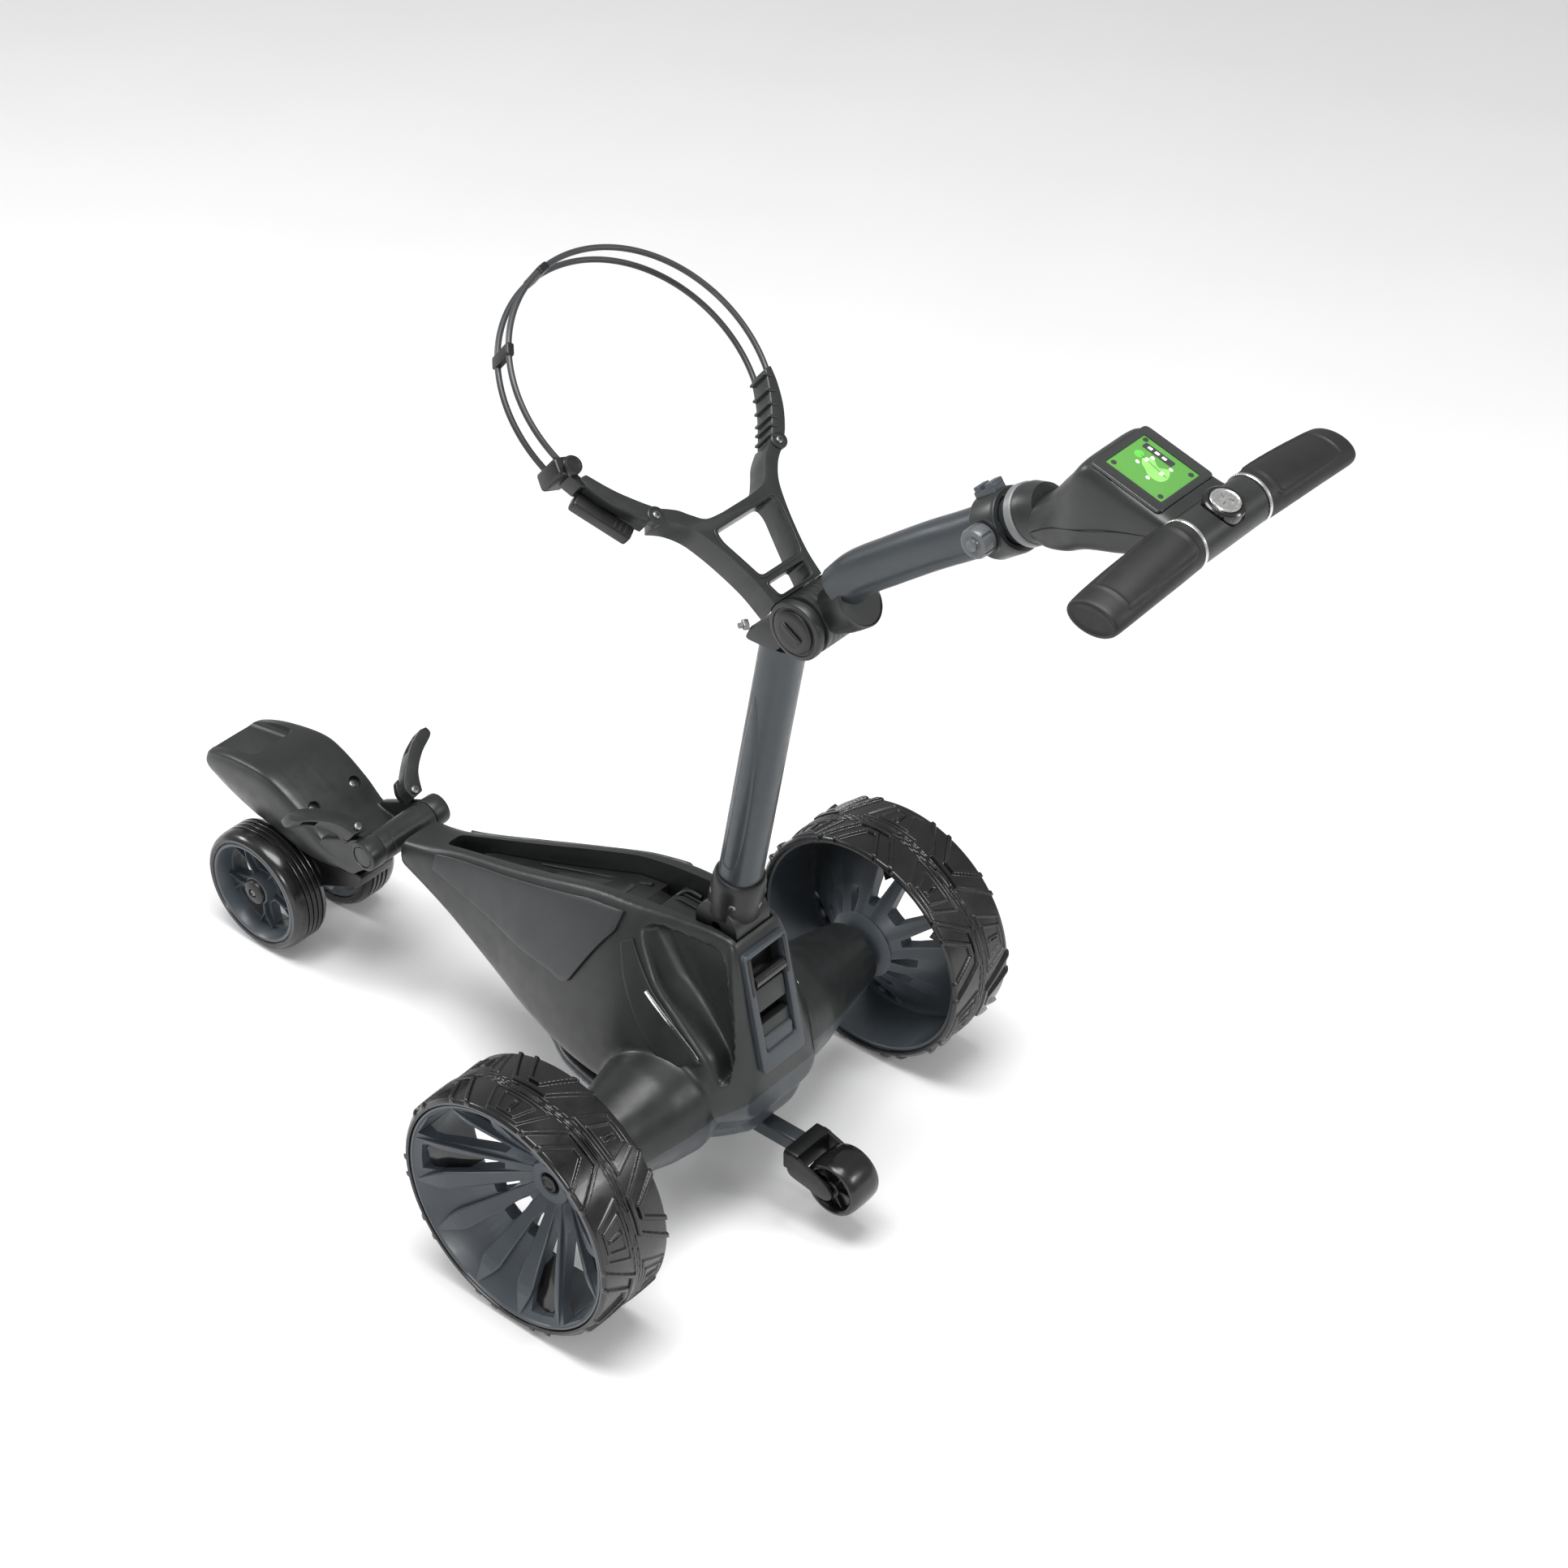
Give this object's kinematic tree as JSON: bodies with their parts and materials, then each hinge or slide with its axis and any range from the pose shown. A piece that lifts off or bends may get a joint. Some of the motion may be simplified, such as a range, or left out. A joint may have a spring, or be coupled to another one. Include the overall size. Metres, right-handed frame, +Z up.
{
  "type": "electric golf trolley",
  "caption": "Folding powered golf trolley with upright shaft, bag cradle and strap, cross handle with screen and dial, spoked rear wheels, small front wheels and anti-tip roller.",
  "frame": {"origin": "middle of the overall length and width, on the ground under the wheels", "axes": "+X forward in the direction of travel, +Y to the trolley's left, +Z up"},
  "size_m": [1.2248, 0.6, 0.9916],
  "materials": {
    "charcoal_plastic": "satin moulded shell",
    "slate_plastic": "satin blue-grey moulding",
    "tube_finish": "satin powder coat on aluminium tube",
    "black_plastic": "fine grained black moulding",
    "tyre_rubber": "smooth semi-gloss tyre",
    "strap_rubber": "elastic cord with rubber cover",
    "silver_trim": "satin silver",
    "steel": "plain turned steel",
    "screen": "lit display under clear cover",
    "battery_case": "battery casing"
  },
  "bodies": {
    "chassis": {"top_cover": "charcoal_plastic", "controller_box": "black_plastic", "side_panel_left": "slate_plastic", "side_panel_right": "slate_plastic", "lower_tray": "slate_plastic", "latch_frame": "slate_plastic", "front_knuckle": "charcoal_plastic", "front_hinge_pin": "steel", "gearmotor_left": "steel", "gearmotor_right": "steel", "tail_bar": "tube_finish", "tail_fork": "black_plastic"},
    "battery": {"battery_pack": "battery_case"},
    "latch": {"release_slider": "black_plastic"},
    "front_unit": {"front_housing": "charcoal_plastic", "front_bracket": "black_plastic", "front_axle": "steel", "rest_bracket_left": "black_plastic", "rest_bracket_right": "black_plastic"},
    "shaft": {"lower_shaft": "tube_finish", "base_collar": "black_plastic", "hinge_fork": "charcoal_plastic", "hinge_pin": "black_plastic", "bag_frame": "charcoal_plastic", "bag_arm_left": "charcoal_plastic", "bag_arm_right": "charcoal_plastic", "strap_buckle": "black_plastic", "bag_strap": "strap_rubber"},
    "lever": {"strap_lever": "black_plastic"},
    "handle": {"upper_tube": "tube_finish", "hinge_saddle": "charcoal_plastic", "accessory_collar": "charcoal_plastic", "neck_ring": "slate_plastic", "head_upper": "charcoal_plastic", "head_lower": "charcoal_plastic", "display_bezel": "black_plastic", "display_screen": "screen", "tbar_core": "charcoal_plastic", "grip_ring_left": "silver_trim", "grip_ring_right": "silver_trim", "grip_left": "black_plastic", "grip_right": "black_plastic"},
    "clamp_knob": {"accessory_knob": "slate_plastic"},
    "dial_ring": {"dial": "black_plastic"},
    "dial_cap": {"dial_button": "silver_trim"},
    "tail_roller": {"tail_wheel": "tyre_rubber"},
    "rear_wheel_left": {"rear_tyre_left": "tyre_rubber", "rear_rim_left": "slate_plastic", "rear_axle_left": "steel"},
    "release_left": {"wheel_release_left": "black_plastic"},
    "front_wheel_left": {"front_tyre_left": "tyre_rubber", "front_rim_left": "slate_plastic"},
    "rest_left": {"bag_rest_left": "charcoal_plastic"},
    "rear_wheel_right": {"rear_tyre_right": "tyre_rubber", "rear_rim_right": "slate_plastic", "rear_axle_right": "steel"},
    "release_right": {"wheel_release_right": "black_plastic"},
    "front_wheel_right": {"front_tyre_right": "tyre_rubber", "front_rim_right": "slate_plastic"},
    "rest_right": {"bag_rest_right": "charcoal_plastic"}
  },
  "joints": [
    {"name": "rear_spin_left", "type": "hinge", "parent": "chassis", "child": "rear_wheel_left", "pos_m": [-0.0746, 0.256, 0.1317], "axis": [0, 1, 0], "continuous": true},
    {"name": "release_press_left", "type": "slide", "parent": "rear_wheel_left", "child": "release_left", "axis": [0, -1, 0], "range_m": [0, 0.003], "stiffness_N_per_m": 900},
    {"name": "front_spin_left", "type": "hinge", "parent": "front_unit", "child": "front_wheel_left", "pos_m": [0.5169, 0.05, 0.071], "axis": [0, 1, 0], "continuous": true},
    {"name": "rest_swivel_left", "type": "hinge", "parent": "front_unit", "child": "rest_left", "pos_m": [0.3793, 0.0409, 0.2075], "axis": [-0.6428, 0, 0.766], "range_deg": [-10, 10]},
    {"name": "rear_spin_right", "type": "hinge", "parent": "chassis", "child": "rear_wheel_right", "pos_m": [-0.0746, -0.256, 0.1317], "axis": [0, 1, 0], "continuous": true},
    {"name": "release_press_right", "type": "slide", "parent": "rear_wheel_right", "child": "release_right", "axis": [0, 1, 0], "range_m": [0, 0.003], "stiffness_N_per_m": 900},
    {"name": "front_spin_right", "type": "hinge", "parent": "front_unit", "child": "front_wheel_right", "pos_m": [0.5169, -0.05, 0.071], "axis": [0, 1, 0], "continuous": true},
    {"name": "rest_swivel_right", "type": "hinge", "parent": "front_unit", "child": "rest_right", "pos_m": [0.3793, -0.0409, 0.2075], "axis": [-0.6428, 0, 0.766], "range_deg": [-10, 10]},
    {"name": "front_fold", "type": "hinge", "parent": "chassis", "child": "front_unit", "pos_m": [0.355, 0, 0.1919], "axis": [0, 1, 0], "range_deg": [0, 75]},
    {"name": "shaft_fold", "type": "hinge", "parent": "chassis", "child": "shaft", "pos_m": [-0.0976, 0, 0.32], "axis": [0, 1, 0], "range_deg": [0, 100]},
    {"name": "handle_fold", "type": "hinge", "parent": "shaft", "child": "handle", "pos_m": [-0.1996, 0, 0.703], "axis": [0, 1, 0], "range_deg": [-110, 0]},
    {"name": "lever_open", "type": "hinge", "parent": "shaft", "child": "lever", "pos_m": [-0.03887, 0.127, 0.81249], "axis": [0.6428, 0, -0.766], "range_deg": [0, 60]},
    {"name": "knob_turn", "type": "hinge", "parent": "handle", "child": "clamp_knob", "pos_m": [-0.3926, 0.037, 0.877], "axis": [0, 1, 0], "continuous": true},
    {"name": "dial_turn", "type": "hinge", "parent": "handle", "child": "dial_ring", "pos_m": [-0.59306, 0, 0.975], "axis": [-0.2756, 0, 0.9613], "continuous": true},
    {"name": "dial_press", "type": "slide", "parent": "dial_ring", "child": "dial_cap", "axis": [0.2756, 0, -0.9613], "range_m": [0, 0.0014], "stiffness_N_per_m": 1200},
    {"name": "latch_slide", "type": "slide", "parent": "chassis", "child": "latch", "axis": [-0.1907, 0, -0.9816], "range_m": [0, 0.012], "stiffness_N_per_m": 300},
    {"name": "battery_lift", "type": "slide", "parent": "chassis", "child": "battery", "axis": [0, 0, -1], "range_m": [-0.12, 0]},
    {"name": "tail_spin", "type": "hinge", "parent": "chassis", "child": "tail_roller", "pos_m": [-0.2346, 0, 0.064], "axis": [0, 1, 0], "continuous": true}
  ],
  "couplings": [
    {"joint": "front_fold", "follows": "shaft_fold", "ratio": 0.75}
  ]
}
